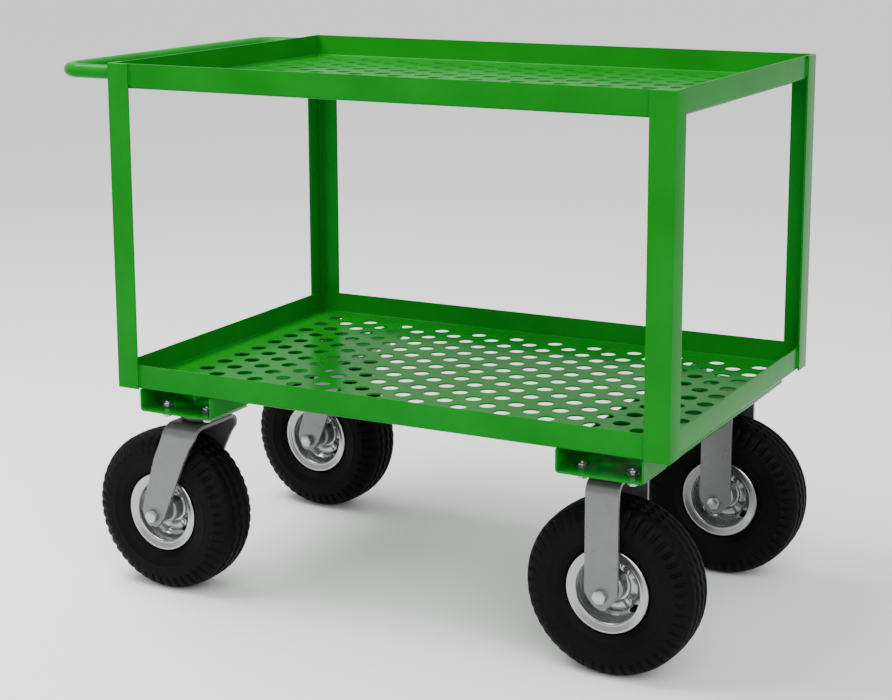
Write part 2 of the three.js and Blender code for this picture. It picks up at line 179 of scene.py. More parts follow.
def punched_cell(bm):
    # one rectangle of floor around one hole, cut along its edges to meet its neighbours
    grid = bmesh.ops.create_grid(bm, x_segments=4, y_segments=8, size=0.5)
    bmesh.ops.scale(bm, verts=grid["verts"], vec=(column_pitch, row_pitch, 1))
    plate = bmesh.ops.dissolve_faces(bm, faces=list(bm.faces), use_verts=False)["region"]
    bmesh.ops.inset_individual(bm, faces=plate, thickness=0.002)
    disc = plate[0]
    for v in disc.verts:
        v.co = v.co.normalized() * hole_radius
    bmesh.ops.delete(bm, geom=[disc], context="FACES_ONLY")


def plain_cell(bm, y):
    # half a cell without a hole, closing the ends of the shorter columns
    grid = bmesh.ops.create_grid(bm, x_segments=4, y_segments=4, size=0.5)
    bmesh.ops.scale(bm, verts=grid["verts"], vec=(column_pitch, row_pitch / 2, 1))
    bmesh.ops.translate(bm, verts=grid["verts"], vec=(0, y, 0))


def hole_column(holes):
    bm = bmesh.new()
    punched_cell(bm)
    first = list(bm.verts) + list(bm.edges) + list(bm.faces)
    for i in range(1, holes):
        copy = moved_vertices(bmesh.ops.duplicate(bm, geom=first))
        bmesh.ops.translate(bm, verts=copy, vec=(0, i * row_pitch, 0))
    bmesh.ops.translate(bm, verts=bm.verts, vec=(0, -(holes - 1) / 2 * row_pitch, 0))
    if holes % 2 == 0:
        for way in (-1, 1):
            plain_cell(bm, way * (holes / 2 + 0.25) * row_pitch)
    mesh = bpy.data.meshes.new("hole_column")
    bm.to_mesh(mesh)
    bm.free()
    return mesh


def sheet_piece(bm, name, material, gauge, ease, ease_steps, sharp=None):
    # a bent surface given its sheet thickness, with its cut edges eased
    mesh = bpy.data.meshes.new(name)
    bm.to_mesh(mesh)
    bm.free()
    mesh.polygons.foreach_set("use_smooth", [True] * len(mesh.polygons))
    if sharp is not None:
        mesh.set_sharp_from_angle(angle=math.radians(sharp))
    mesh.materials.append(material)
    piece = bpy.data.objects.new(name, mesh)
    bpy.context.scene.collection.objects.link(piece)
    wall = piece.modifiers.new("sheet", "SOLIDIFY")
    wall.thickness = gauge
    wall.offset = -1
    wall.use_even_offset = True
    eased = piece.modifiers.new("eased_edges", "BEVEL")
    eased.width = ease
    eased.segments = ease_steps
    eased.limit_method = "ANGLE"
    eased.angle_limit = math.radians(50)
    eased.harden_normals = True
    return piece


def folded_deck(node, name):
    low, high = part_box(node)
    middle = (low + high) / 2
    half_x, half_y = (high.x - low.x) / 2, (high.y - low.y) / 2
    long_column, short_column = hole_column(long_column_holes), hole_column(long_column_holes - 1)
    bm = bmesh.new()
    for i in range(-columns_aside, columns_aside + 1):
        before = len(bm.verts)
        bm.from_mesh(long_column if i % 2 else short_column)
        bm.verts.ensure_lookup_table()
        bmesh.ops.translate(bm, verts=bm.verts[before:], vec=(i * column_pitch, 0, 0))
    bmesh.ops.remove_doubles(bm, verts=bm.verts, dist=1e-5)
    reach_x = (columns_aside + 0.5) * column_pitch
    reach_y = long_column_holes / 2 * row_pitch
    rim = [
        e for e in bm.edges
        if e.is_boundary and all(
            abs(abs(v.co.x) - reach_x) < 1e-4 or abs(abs(v.co.y) - reach_y) < 1e-4 for v in e.verts
        )
    ]
    # the floor runs out to the fold, round it, and up the lip
    fold = 0.0025
    stages = [(half_x - deck_sheet - fold, half_y - deck_sheet - fold, 0.0)]
    for step in range(1, 6):
        turn = math.radians(18 * step)
        out, up = fold * math.sin(turn), fold * (1 - math.cos(turn))
        stages.append((stages[0][0] + out, stages[0][1] + out, up))
    stages.append((half_x - deck_sheet, half_y - deck_sheet, high.z - low.z - deck_sheet))
    wide, deep, height = reach_x, reach_y, 0.0
    for x, y, z in stages:
        grown = bmesh.ops.extrude_edge_only(bm, edges=rim)
        rim = [e for e in grown["geom"] if isinstance(e, bmesh.types.BMEdge)]
        edge_verts = moved_vertices(grown)
        bmesh.ops.scale(bm, verts=edge_verts, vec=(x / wide, y / deep, 1))
        bmesh.ops.translate(bm, verts=edge_verts, vec=(0, 0, z - height))
        wide, deep, height = x, y, z
    bmesh.ops.translate(bm, verts=bm.verts, vec=(middle.x, middle.y, low.z + deck_sheet))
    bmesh.ops.recalc_face_normals(bm, faces=bm.faces)
    if sum(f.normal.z * f.calc_area() for f in bm.faces) < 0:
        bmesh.ops.reverse_faces(bm, faces=bm.faces)
    deck = sheet_piece(bm, name, green_paint, deck_sheet, ease=0.0006, ease_steps=1)
    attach(deck, "frame")
    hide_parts(node)
    return deck


folded_deck("upper_deck", "upper_perforated_deck")
folded_deck("lower_deck", "lower_perforated_deck")


# ---- deck welds ----------------------------------------------------------------------------
# Short fillet welds run down each lip beside the post toes, and are painted over with the
# frame.

def rippled_bead(bm, start, end, radius, ripples):
    axis = end - start
    turn = axis.to_track_quat("Z", "Y").to_matrix().to_4x4()
    ring = bmesh.ops.create_circle(bm, segments=10, radius=radius, cap_ends=True)
    bmesh.ops.rotate(bm, verts=ring["verts"], matrix=turn.to_3x3())
    bmesh.ops.translate(bm, verts=ring["verts"], vec=start)
    made = list(ring["verts"])
    cap = [f for f in bm.faces if all(v in made for v in f.verts)]
    swell = 1.0
    steps = ripples * 2
    for i in range(1, steps + 1):
        grown = bmesh.ops.extrude_face_region(bm, geom=cap)
        cap = [f for f in grown["geom"] if isinstance(f, bmesh.types.BMFace)]
        moved = moved_vertices(grown)
        bmesh.ops.translate(bm, verts=moved, vec=axis / steps)
        target = 0.72 if i == steps else (1.0 if i % 2 == 0 else 1.16)
        space = Matrix.Translation(-(start + axis * i / steps))
        factor = target / swell
        bmesh.ops.scale(bm, verts=moved, vec=(factor, factor, factor), space=space)
        swell = target


def deck_welds(deck_node, name):
    low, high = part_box(deck_node)
    bm = bmesh.new()
    for end in ("rear", "front"):
        for side in ("right", "left"):
            p_low, p_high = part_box(f"post_{end}_{side}")
            y_face = low.y if side == "right" else high.y
            x_face = low.x if end == "rear" else high.x
            x_toe = p_high.x if end == "rear" else p_low.x
            y_toe = p_high.y if side == "right" else p_low.y
            for x, y in ((x_toe, y_face), (x_face, y_toe)):
                foot = Vector((x, y, low.z + 0.006))
                rippled_bead(bm, foot, foot + Vector((0, 0, 0.027)), 0.0017, 7)
    finish_piece(bm, name, green_paint, "frame", [], sharp=60)


deck_welds("upper_deck", "upper_deck_corner_welds")
deck_welds("lower_deck", "lower_deck_corner_welds")


# ---- push handle ---------------------------------------------------------------------------
# One length of round tube with two bends, its cut ends welded square onto the rear posts.

def push_handle():
    low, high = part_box("push_handle")
    radius = (high.z - low.z) / 2
    bend = 0.038
    height = (low.z + high.z) / 2
    arm_y = high.y - radius
    bar_x = low.x + radius
    bm = bmesh.new()
    ring = bmesh.ops.create_circle(bm, segments=28, radius=radius)["verts"]
    bmesh.ops.rotate(bm, verts=ring, matrix=Matrix.Rotation(math.pi / 2, 3, "Y"))
    bmesh.ops.translate(bm, verts=ring, vec=(high.x, -arm_y, height))
    rim = list(bm.edges)

    def straight(edges, vec):
        grown = bmesh.ops.extrude_edge_only(bm, edges=edges)
        bmesh.ops.translate(bm, verts=moved_vertices(grown), vec=vec)
        return [e for e in grown["geom"] if isinstance(e, bmesh.types.BMEdge)]

    def corner(edges, centre):
        turned = bmesh.ops.spin(
            bm, geom=edges, cent=centre, axis=(0, 0, 1), angle=-math.pi / 2, steps=14, use_merge=False
        )
        return [e for e in turned["geom_last"] if isinstance(e, bmesh.types.BMEdge)]

    rim = straight(rim, (bar_x + bend - high.x, 0, 0))
    rim = corner(rim, (bar_x + bend, -arm_y + bend, height))
    rim = straight(rim, (0, 2 * (arm_y - bend), 0))
    rim = corner(rim, (bar_x + bend, arm_y - bend, height))
    rim = straight(rim, (high.x - bar_x - bend, 0, 0))
    bmesh.ops.holes_fill(bm, edges=[e for e in bm.edges if e.is_boundary])
    finish_piece(bm, "bent_tube_handle", green_paint, "frame", ["push_handle"])

    # a fillet weld all round each tube end
    bm = bmesh.new()
    for way in (-1, 1):
        steps = 44
        bead = bmesh.ops.create_circle(bm, segments=8, radius=0.0022)["verts"]
        edges = list({e for v in bead for e in v.link_edges})
        bmesh.ops.rotate(bm, verts=bead, matrix=Matrix.Rotation(math.pi / 2, 3, "Y"))
        bmesh.ops.rotate(bm, verts=bead, matrix=Matrix.Rotation(math.pi / 2, 3, "Z"))
        centre = Vector((high.x - 0.0014, way * arm_y, height))
        bmesh.ops.translate(bm, verts=bead, vec=centre + Vector((0, 0, radius + 0.0003)))
        bmesh.ops.spin(
            bm, geom=edges, cent=centre, axis=(1, 0, 0), angle=2 * math.pi, steps=steps, use_merge=True
        )
        for v in bm.verts:
            if (v.co.y > 0) == (way > 0):
                around = math.atan2(v.co.z - height, v.co.y - way * arm_y)
                v.co.x -= 0.0004 * math.cos(22 * around)
    finish_piece(bm, "handle_end_welds", green_paint, "frame", [], sharp=80)


push_handle()


# ---- caster channels -----------------------------------------------------------------------
# Two troughs of folded sheet welded crosswise under the lower deck. Their floors carry the
# caster bolts, and their ends stay open at the cart's sides.

channel_sheet = 0.0034


def caster_channel(node, name):
    low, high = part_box(node)
    fold = 0.0054
    bm = bmesh.new()
    floor = bmesh.ops.create_grid(bm, x_segments=1, y_segments=1, size=0.5)["verts"]
    bmesh.ops.scale(bm, verts=floor, vec=(high.x - low.x, high.y - low.y, 1))
    bmesh.ops.translate(bm, verts=floor, vec=((low.x + high.x) / 2, (low.y + high.y) / 2, low.z))
    sides = [e for e in bm.edges if abs(e.verts[0].co.x - e.verts[1].co.x) < 1e-6]
    walls = bmesh.ops.extrude_edge_only(bm, edges=sides)
    bmesh.ops.translate(bm, verts=moved_vertices(walls), vec=(0, 0, high.z - low.z))
    folds = [e for e in bm.edges if len(e.link_faces) == 2]
    bmesh.ops.bevel(
        bm, geom=folds, offset=fold, segments=6, affect="EDGES", profile=0.5, material=-1
    )
    bmesh.ops.recalc_face_normals(bm, faces=bm.faces)
    if sum(f.normal.z * f.calc_area() for f in bm.faces) > 0:
        bmesh.ops.reverse_faces(bm, faces=bm.faces)
    channel = sheet_piece(bm, name, green_paint, channel_sheet, ease=0.0006, ease_steps=2)
    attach(channel, "frame")
    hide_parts(node)
    return channel


caster_channel("rear_caster_channel", "rear_folded_channel")
caster_channel("front_caster_channel", "front_folded_channel")


# ---- caster plates and forks ----------------------------------------------------------------
# Steel strap bent into forks and flat plates, zinc plated after forming: a satin grey skin
# with faint mottling.

def zinc_plating(name, tone, metal, low_gloss, high_gloss, mottle):
    plating = bpy.data.materials.new(name)
    plating.use_nodes = True
    nodes, links = plating.node_tree.nodes, plating.node_tree.links
    shader = nodes["Principled BSDF"]
    shader.inputs["Metallic"].default_value = metal
    place = nodes.new("ShaderNodeTexCoord")
    cloud = nodes.new("ShaderNodeTexNoise")
    cloud.inputs["Scale"].default_value = 38.0
    cloud.inputs["Detail"].default_value = 5.0
    cloud.inputs["Roughness"].default_value = 0.6
    links.new(place.outputs["Object"], cloud.inputs["Vector"])
    shade = nodes.new("ShaderNodeValToRGB")
    shade.color_ramp.elements[0].position = 0.3
    shade.color_ramp.elements[0].color = (*(c * (1 - mottle) for c in tone), 1)
    shade.color_ramp.elements[1].position = 0.75
    shade.color_ramp.elements[1].color = (*tone, 1)
    links.new(cloud.outputs["Fac"], shade.inputs["Fac"])
    links.new(shade.outputs["Color"], shader.inputs["Base Color"])
    gloss = nodes.new("ShaderNodeMapRange")
    gloss.inputs["From Min"].default_value = 0.3
    gloss.inputs["From Max"].default_value = 0.7
    gloss.inputs["To Min"].default_value = low_gloss
    gloss.inputs["To Max"].default_value = high_gloss
    links.new(cloud.outputs["Fac"], gloss.inputs["Value"])
    links.new(gloss.outputs["Result"], shader.inputs["Roughness"])
    grain = nodes.new("ShaderNodeTexNoise")
    grain.inputs["Scale"].default_value = 900.0
    grain.inputs["Detail"].default_value = 2.0
    links.new(place.outputs["Object"], grain.inputs["Vector"])
    rough = nodes.new("ShaderNodeBump")
    rough.inputs["Strength"].default_value = 0.12
    rough.inputs["Distance"].default_value = 0.0002
    links.new(grain.outputs["Fac"], rough.inputs["Height"])
    links.new(rough.outputs["Normal"], shader.inputs["Normal"])
    return plating


satin_zinc = zinc_plating("satin_zinc", (0.155, 0.157, 0.159), 0.60, 0.26, 0.36, 0.14)
leg_sheet = 0.00635


def strap_fork(levels, half_y, shoulder):
    # levels run down one leg: (height, back x, front x), the first being the flat crown
    bm = bmesh.new()
    top, back, front = levels[0]
    crown = bmesh.ops.create_grid(bm, x_segments=1, y_segments=1, size=0.5)["verts"]
    bmesh.ops.scale(bm, verts=crown, vec=(front - back, 2 * half_y, 1))
    bmesh.ops.translate(bm, verts=crown, vec=((front + back) / 2, 0, top))
    rims = [e for e in bm.edges if abs(e.verts[0].co.y - e.verts[1].co.y) < 1e-6]
    height = top
    for z, x0, x1 in levels[1:]:
        grown = bmesh.ops.extrude_edge_only(bm, edges=rims)
        rims = [e for e in grown["geom"] if isinstance(e, bmesh.types.BMEdge)]
        moved = moved_vertices(grown)
        for v in moved:
            v.co.x = x0 if v.co.x < (back + front) / 2 else x1
            v.co.z = z
        back, front = x0, x1
    turned = [
        e for e in bm.edges
        if abs(e.verts[0].co.z - top) < 1e-6 and abs(e.verts[1].co.z - top) < 1e-6 and len(e.link_faces) == 2
    ]
    bmesh.ops.bevel(
        bm, geom=turned, offset=shoulder, segments=8, affect="EDGES", profile=0.5, material=-1
    )
    bmesh.ops.recalc_face_normals(bm, faces=bm.faces)
    if sum(f.normal.z * f.calc_area() for f in bm.faces) < 0:
        bmesh.ops.reverse_faces(bm, faces=bm.faces)
    return bm


def finish_fork(bm, name, node, body, place):
    bmesh.ops.transform(bm, matrix=place, verts=bm.verts)
    fork = sheet_piece(bm, name, satin_zinc, leg_sheet, ease=0.0011, ease_steps=3, sharp=35)
    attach(fork, body)
    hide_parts(node)
    return fork


def caster_plate(name, place, nodes, body="frame"):
    # flat pad with rounded corners, under the channel floor
    low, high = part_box("rear_right_top_plate")
    bm = bmesh.new()
    bmesh.ops.create_cube(bm, size=1.0)
    bmesh.ops.scale(bm, verts=bm.verts, vec=(high.x - low.x, high.y - low.y, high.z - low.z))
    corners = [e for e in bm.edges if abs(e.verts[0].co.z - e.verts[1].co.z) > 1e-4]
    bevel = dict(affect="EDGES", profile=0.5, material=-1)
    bmesh.ops.bevel(bm, geom=corners, offset=0.010, segments=6, **bevel)
    rims = [e for e in bm.edges if abs(e.verts[0].co.z - e.verts[1].co.z) < 1e-6]
    bmesh.ops.bevel(bm, geom=rims, offset=0.0009, segments=2, **bevel)
    bmesh.ops.translate(bm, verts=bm.verts, vec=(place[0], place[1], (low.z + high.z) / 2))
    return finish_piece(bm, name, satin_zinc, body, nodes, sharp=35)


joints = {joint["name"]: joint for joint in frame["joints"]}
wheel_radius = 0.130
fork_half = 0.05785
crown_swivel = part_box("rear_right_ball_race")[0].z - 0.0003
plate_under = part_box("rear_right_top_plate")[0].z


def turned_place(x, y, yaw):
    return Matrix.Translation((x, y, 0)) @ Matrix.Rotation(yaw, 4, "Z")


def wheel_yaw(corner):
    axis = joints[f"{corner}_wheel_spin"]["axis"]
    return math.atan2(-axis[0], axis[1])


for side in ("right", "left"):
    # rigid fork: straight legs under a full width plate, tapering below the axle
    corner = f"front_{side}"
    x, y, _ = joints[f"{corner}_wheel_spin"]["pos_m"]
    half = 0.0255
    levels = [
        (plate_under, -half, half),
        (plate_under - 0.060, -half, half),
        (wheel_radius + 0.003, -half, half),
        (wheel_radius - 0.0125, -0.0150, 0.0150),
        (wheel_radius - 0.0180, -0.0085, 0.0085),
    ]
    bm = strap_fork(levels, fork_half, 0.020)
    finish_fork(bm, f"{corner}_rigid_fork", f"{corner}_fork", "frame", turned_place(x, y, 0))
    caster_plate(f"{corner}_rigid_plate", (x, y), [])

    # swivel fork: the legs sweep back from the crown to carry the axle behind the kingpin
    corner = f"rear_{side}"
    x, y, _ = joints[f"{corner}_swivel_turn"]["pos_m"]
    trail, half, crown = 0.057, 0.022, 0.031
    levels = [
        (crown_swivel, -crown, crown),
        (crown_swivel - 0.021, -crown - 0.005, crown - 0.004),
        (crown_swivel - 0.034, -crown - 0.0105, crown - 0.013),
        (crown_swivel - 0.060, -crown - 0.022, crown - 0.026),
        (wheel_radius + 0.008, -trail - half, -trail + half + 0.003),
        (wheel_radius, -trail - half + 0.002, -trail + half),
        (wheel_radius - 0.0125, -trail - 0.0145, -trail + 0.0125),
        (wheel_radius - 0.0180, -trail - 0.0090, -trail + 0.0070),
    ]
    bm = strap_fork(levels, fork_half, 0.020)
    place = turned_place(x, y, wheel_yaw(corner))
    finish_fork(bm, f"{corner}_swivel_fork", f"{corner}_fork", f"{corner}_swivel", place)
    caster_plate(f"{corner}_swivel_plate", (x, y), [f"{corner}_top_plate"])


# ---- swivel bearings ------------------------------------------------------------------------
# A pressed raceway with a pinched seam turns on balls around a kingpin, which is closed by a
# flanged nut under the crown.

def spun(bm, profile, steps, axis="Z"):
    # profile points are (radius, height); a closed profile makes a ring
    verts = [bm.verts.new((r, 0, h)) for r, h in profile]
    edges = [bm.edges.new(pair) for pair in zip(verts, verts[1:])]
    bmesh.ops.spin(
        bm, geom=verts + edges, cent=(0, 0, 0), axis=(0, 0, 1), angle=2 * math.pi, steps=steps, use_merge=True
    )
    bmesh.ops.remove_doubles(bm, verts=bm.verts, dist=1e-6)
    if axis == "Y":
        bmesh.ops.rotate(bm, verts=bm.verts, matrix=Matrix.Rotation(-math.pi / 2, 3, "X"))


def ring_profile(points):
    return [*points, points[0]]


for side in ("right", "left"):
    corner = f"rear_{side}"
    x, y, _ = joints[f"{corner}_swivel_turn"]["pos_m"]
    low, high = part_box(f"{corner}_ball_race")
    deep = high.z - low.z
    bm = bmesh.new()
    race = [
        (0.0067, low.z), (0.0270, low.z), (0.0310, low.z + 0.0010), (0.0336, low.z + 0.0036),
        (0.0338, low.z + 0.0052), (0.0325, low.z + 0.0058), (0.0325, low.z + 0.0066),
        (0.0339, low.z + 0.0072), (0.0336, low.z + 0.0092), (0.0312, high.z - 0.0008),
        (0.0290, high.z), (0.0067, high.z),
    ]
    spun(bm, ring_profile(race), 64)
    bmesh.ops.translate(bm, verts=bm.verts, vec=(x, y, 0))
    finish_piece(
        bm, f"{corner}_raceway", satin_zinc, f"{corner}_swivel", [f"{corner}_ball_race"]
    )
    low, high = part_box(f"{corner}_kingpin")
    bm = bmesh.new()
    pin = [
        (0.0, low.z), (0.0052, low.z), (0.0062, low.z + 0.001), (0.0062, low.z + 0.0022),
        (0.0108, low.z + 0.0022), (0.0115, low.z + 0.003), (0.0115, low.z + 0.0094),
        (0.0062, low.z + 0.0108), (0.0062, high.z - 0.001), (0.0, high.z - 0.001),
    ]
    spun(bm, pin, 48)
    bmesh.ops.translate(bm, verts=bm.verts, vec=(x, y, 0))
    finish_piece(bm, f"{corner}_swivel_kingpin", satin_zinc, "frame", [f"{corner}_kingpin"])


# ---- caster bolts ---------------------------------------------------------------------------
# Hexagon bolts stand up through plate and channel floor, each with a washer, a nut and a few
# spare threads. They are bright zinc, a little brighter than the forks.

bright_zinc = zinc_plating("bright_zinc", (0.42, 0.424, 0.428), 0.9, 0.20, 0.30, 0.08)
channel_underside = 0.3048


def hexagon(bm, across, low_z, high_z, chamfer):
    made = bmesh.ops.create_cone(
        bm, segments=6, radius1=across / math.sqrt(3), radius2=across / math.sqrt(3),
        depth=high_z - low_z, cap_ends=True,
    )["verts"]
    bmesh.ops.translate(bm, verts=made, vec=(0, 0, (low_z + high_z) / 2))
    points = {v for v in made}
    uprights = [e for e in bm.edges if e.verts[0] in points and e.verts[1] in points]
    bmesh.ops.bevel(
        bm, geom=uprights, offset=chamfer, segments=2, affect="EDGES", profile=0.5, material=-1
    )


def threaded_end(bm, radius, low_z, high_z, pitch=0.0014):
    # rounded crests, close enough to read as a rolled thread
    profile = [(0.0, low_z)]
    z = low_z
    while z + pitch < high_z - 0.0006:
        profile += [(radius * 0.88, z), (radius, z + pitch * 0.5)]
        z += pitch
    profile += [(radius * 0.88, z), (radius * 0.8, high_z), (0.0, high_z)]
    spun(bm, profile, 20)


def tightened_turn(node):
    # each bolt stopped at its own angle, as a share of one flat
    return (sum(ord(letter) * (i + 3) for i, letter in enumerate(node)) % 17) / 17


def caster_bolt(node, name):
    low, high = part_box(node)
    x, y = (low.x + high.x) / 2, (low.y + high.y) / 2
    under_head = low.z + 0.0052
    nut_seat = channel_underside + channel_sheet + 0.0003
    bm = bmesh.new()
    hexagon(bm, 0.0127, low.z, under_head, 0.0007)
    threaded_end(bm, 0.0039, under_head - 0.001, high.z, pitch=0.0014)
    nut_foot = nut_seat + 0.0014
    washer = [(0.0042, nut_seat), (0.0086, nut_seat), (0.0088, nut_foot), (0.0042, nut_foot)]
    spun(bm, ring_profile(washer), 28)
    hexagon(bm, 0.0127, nut_foot, nut_seat + 0.0068, 0.0008)
    turn = tightened_turn(node) * math.pi / 3
    bmesh.ops.rotate(bm, verts=bm.verts, matrix=Matrix.Rotation(turn, 3, "Z"))
    bmesh.ops.translate(bm, verts=bm.verts, vec=(x, y, 0))
    finish_piece(bm, name, bright_zinc, "frame", [node], sharp=32)


for corner in ("rear_right", "rear_left", "front_right", "front_left"):
    for i in range(1, 5):
        caster_bolt(f"{corner}_bolt_{i}", f"{corner}_hex_bolt_{i}")


# ---- tyres ----------------------------------------------------------------------------------
# Pneumatic tyres in matt black rubber: a ribbed tread with zig-zag grooves, notched
# shoulders, and smooth sidewalls with fine moulded rings.

def tyre_rubber():
    rubber = bpy.data.materials.new("tyre_rubber")
    rubber.use_nodes = True
    nodes, links = rubber.node_tree.nodes, rubber.node_tree.links
    shader = nodes["Principled BSDF"]
    place = nodes.new("ShaderNodeTexCoord")
    bloom = nodes.new("ShaderNodeTexNoise")
    bloom.inputs["Scale"].default_value = 16.0
    bloom.inputs["Detail"].default_value = 6.0
    links.new(place.outputs["Object"], bloom.inputs["Vector"])
    black = nodes.new("ShaderNodeValToRGB")
    black.color_ramp.elements[0].position = 0.35
    black.color_ramp.elements[0].color = (0.0014, 0.0014, 0.0015, 1)
    black.color_ramp.elements[1].position = 0.75
    black.color_ramp.elements[1].color = (0.0030, 0.0030, 0.0031, 1)
    links.new(bloom.outputs["Fac"], black.inputs["Fac"])
    links.new(black.outputs["Color"], shader.inputs["Base Color"])
    matt = nodes.new("ShaderNodeMapRange")
    matt.inputs["To Min"].default_value = 0.48
    matt.inputs["To Max"].default_value = 0.66
    links.new(bloom.outputs["Fac"], matt.inputs["Value"])
    links.new(matt.outputs["Result"], shader.inputs["Roughness"])
    shader.inputs["Specular IOR Level"].default_value = 0.06
    skin = nodes.new("ShaderNodeTexNoise")
    skin.inputs["Scale"].default_value = 700.0
    links.new(place.outputs["Object"], skin.inputs["Vector"])
    fine = nodes.new("ShaderNodeBump")
    fine.inputs["Strength"].default_value = 0.25
    fine.inputs["Distance"].default_value = 0.0003
    links.new(skin.outputs["Fac"], fine.inputs["Height"])
    links.new(fine.outputs["Normal"], shader.inputs["Normal"])
    return rubber


black_rubber = tyre_rubber()
tread_steps = 288


def tyre_profile():
    # (radius, sideways) from the tread's middle over one shoulder to the bead
    crown = 0.130
    half = [
        (crown, 0.0044), (crown - 0.0001, 0.0080), (crown - 0.0003, 0.0111),
        (crown - 0.0034, 0.0141), (crown - 0.0036, 0.0169), (crown - 0.0009, 0.0199),
        (crown - 0.0016, 0.0240), (crown - 0.0026, 0.0275), (crown - 0.0030, 0.0282),
        (crown - 0.0052, 0.0330), (crown - 0.0085, 0.0370), (crown - 0.0125, 0.0400),
        (crown - 0.0150, 0.0414), (crown - 0.0158, 0.0418), (crown - 0.0200, 0.0434),
        (crown - 0.0225, 0.0441), (crown - 0.0235, 0.0447), (crown - 0.0245, 0.0444),
        (crown - 0.0290, 0.0449), (crown - 0.0340, 0.0450), (crown - 0.0400, 0.0446),
        (crown - 0.0410, 0.0449), (crown - 0.0420, 0.0443), (crown - 0.0480, 0.0431),
        (crown - 0.0540, 0.0408), (crown - 0.0550, 0.0408), (crown - 0.0560, 0.0399),
        (crown - 0.0610, 0.0368), (crown - 0.0640, 0.0345), (crown - 0.0655, 0.0325),
        (0.0640, 0.0312), (0.0560, 0.0311), (0.0511, 0.0311),
    ]
    inside = [(0.0511, 0.0180), (0.0600, 0.0220), (0.0880, 0.0370), (0.1080, 0.0340), (0.1190, 0.0200)]
    outer = [(crown - 0.0034, -0.0014), (crown - 0.0034, 0.0014), *half]
    lining = inside + [(r, -y) for r, y in reversed(inside)]
    other = [(r, -y) for r, y in reversed(half)]
    return ring_profile([*outer, *lining, *other])


def tyre(corner, place):
    bm = bmesh.new()
    spun(bm, tyre_profile(), tread_steps, axis="Y")
    pitch = 2 * math.pi / tread_steps
    for v in bm.verts:
        radius = math.hypot(v.co.x, v.co.z)
        step = round(math.atan2(v.co.x, v.co.z) / pitch) % tread_steps
        away = abs(v.co.y)
        phase = step % 6
        if radius > 0.1255 and away < 0.0205:
            # the grooves zig-zag once for every shoulder block
            v.co.y += 0.0018 * (abs(phase - 3) / 1.5 - 1)
        elif 0.1045 < radius < 0.1272 and away > 0.0278:
            # slots between the shoulder blocks run out onto the sidewall
            depth = (0.0025, 0.0029, 0.0005, 0.0, 0.0, 0.0)[phase]
            fade = min(1.0, (radius - 0.1045) / 0.004, (0.1278 - radius) / 0.006)
            v.co.y *= 1 - 1.1 * depth * fade / away
            shrink = 1 - 0.25 * depth * fade / radius
            v.co.x *= shrink
            v.co.z *= shrink
    bmesh.ops.transform(bm, matrix=place, verts=bm.verts)
    name = f"{corner}_pneumatic_tyre"
    body = f"{corner}_wheel"
    return finish_piece(bm, name, black_rubber, body, [f"{corner}_tyre"], sharp=28)


# ---- rims -----------------------------------------------------------------------------------
# Each rim is two pressed halves bolted back to back, bright zinc plated, with a rolled flange,
# a stepped wall and a shallow centre disc.

rim_zinc = zinc_plating("rim_zinc", (0.37, 0.374, 0.378), 0.90, 0.17, 0.26, 0.06)
pad_rise = 0.0042


def rim_half(corner, place, outboard):
    way = -1 if outboard else 1
    profile = [
        (0.0204, 0.0004), (0.0408, 0.0004), (0.0506, 0.0082), (0.0507, 0.0312), (0.0516, 0.0318),
        (0.0600, 0.0319), (0.0620, 0.0326), (0.0631, 0.0342), (0.0631, 0.0352), (0.0622, 0.0360),
        (0.0608, 0.0361), (0.0590, 0.0356), (0.0560, 0.0344), (0.0540, 0.0341), (0.0532, 0.0336),
        (0.0522, 0.0336), (0.0505, 0.0334), (0.0492, 0.0325), (0.0485, 0.0308), (0.0482, 0.0255),
        (0.0478, 0.0238), (0.0468, 0.0226), (0.0464, 0.0205), (0.0460, 0.0150), (0.0450, 0.0122),
        (0.0430, 0.0100), (0.0400, 0.0082), (0.0385, 0.0068), (0.0375, 0.0048), (0.0360, 0.0034),
        (0.0335, 0.0029), (0.0275, 0.0029), (0.0255, 0.0036), (0.0238, 0.0060), (0.0225, 0.0068),
        (0.0204, 0.0070),
    ]
    bm = bmesh.new()
    spun(bm, ring_profile([(r, way * y) for r, y in profile]), 96, axis="Y")
    for v in bm.verts:
        # four pressed pads stand proud of the disc, one under each clamp bolt
        radius, depth = math.hypot(v.co.x, v.co.z), way * v.co.y
        if 0.0236 < radius < 0.0440 and 0.002 < depth < 0.013:
            lobe = max(0.0, math.cos(4 * (math.atan2(v.co.x, v.co.z) - math.radians(38)))) ** 0.6
            swell = math.sin(math.pi * (radius - 0.0230) / 0.0215) ** 0.7
            v.co.y += way * pad_rise * lobe * swell
    bmesh.ops.transform(bm, matrix=place, verts=bm.verts)
    half = "outboard" if outboard else "inboard"
    name = f"{corner}_pressed_rim_{half}"
    node = f"{corner}_rim_{half}"
    return finish_piece(bm, name, rim_zinc, f"{corner}_wheel", [node], sharp=35)


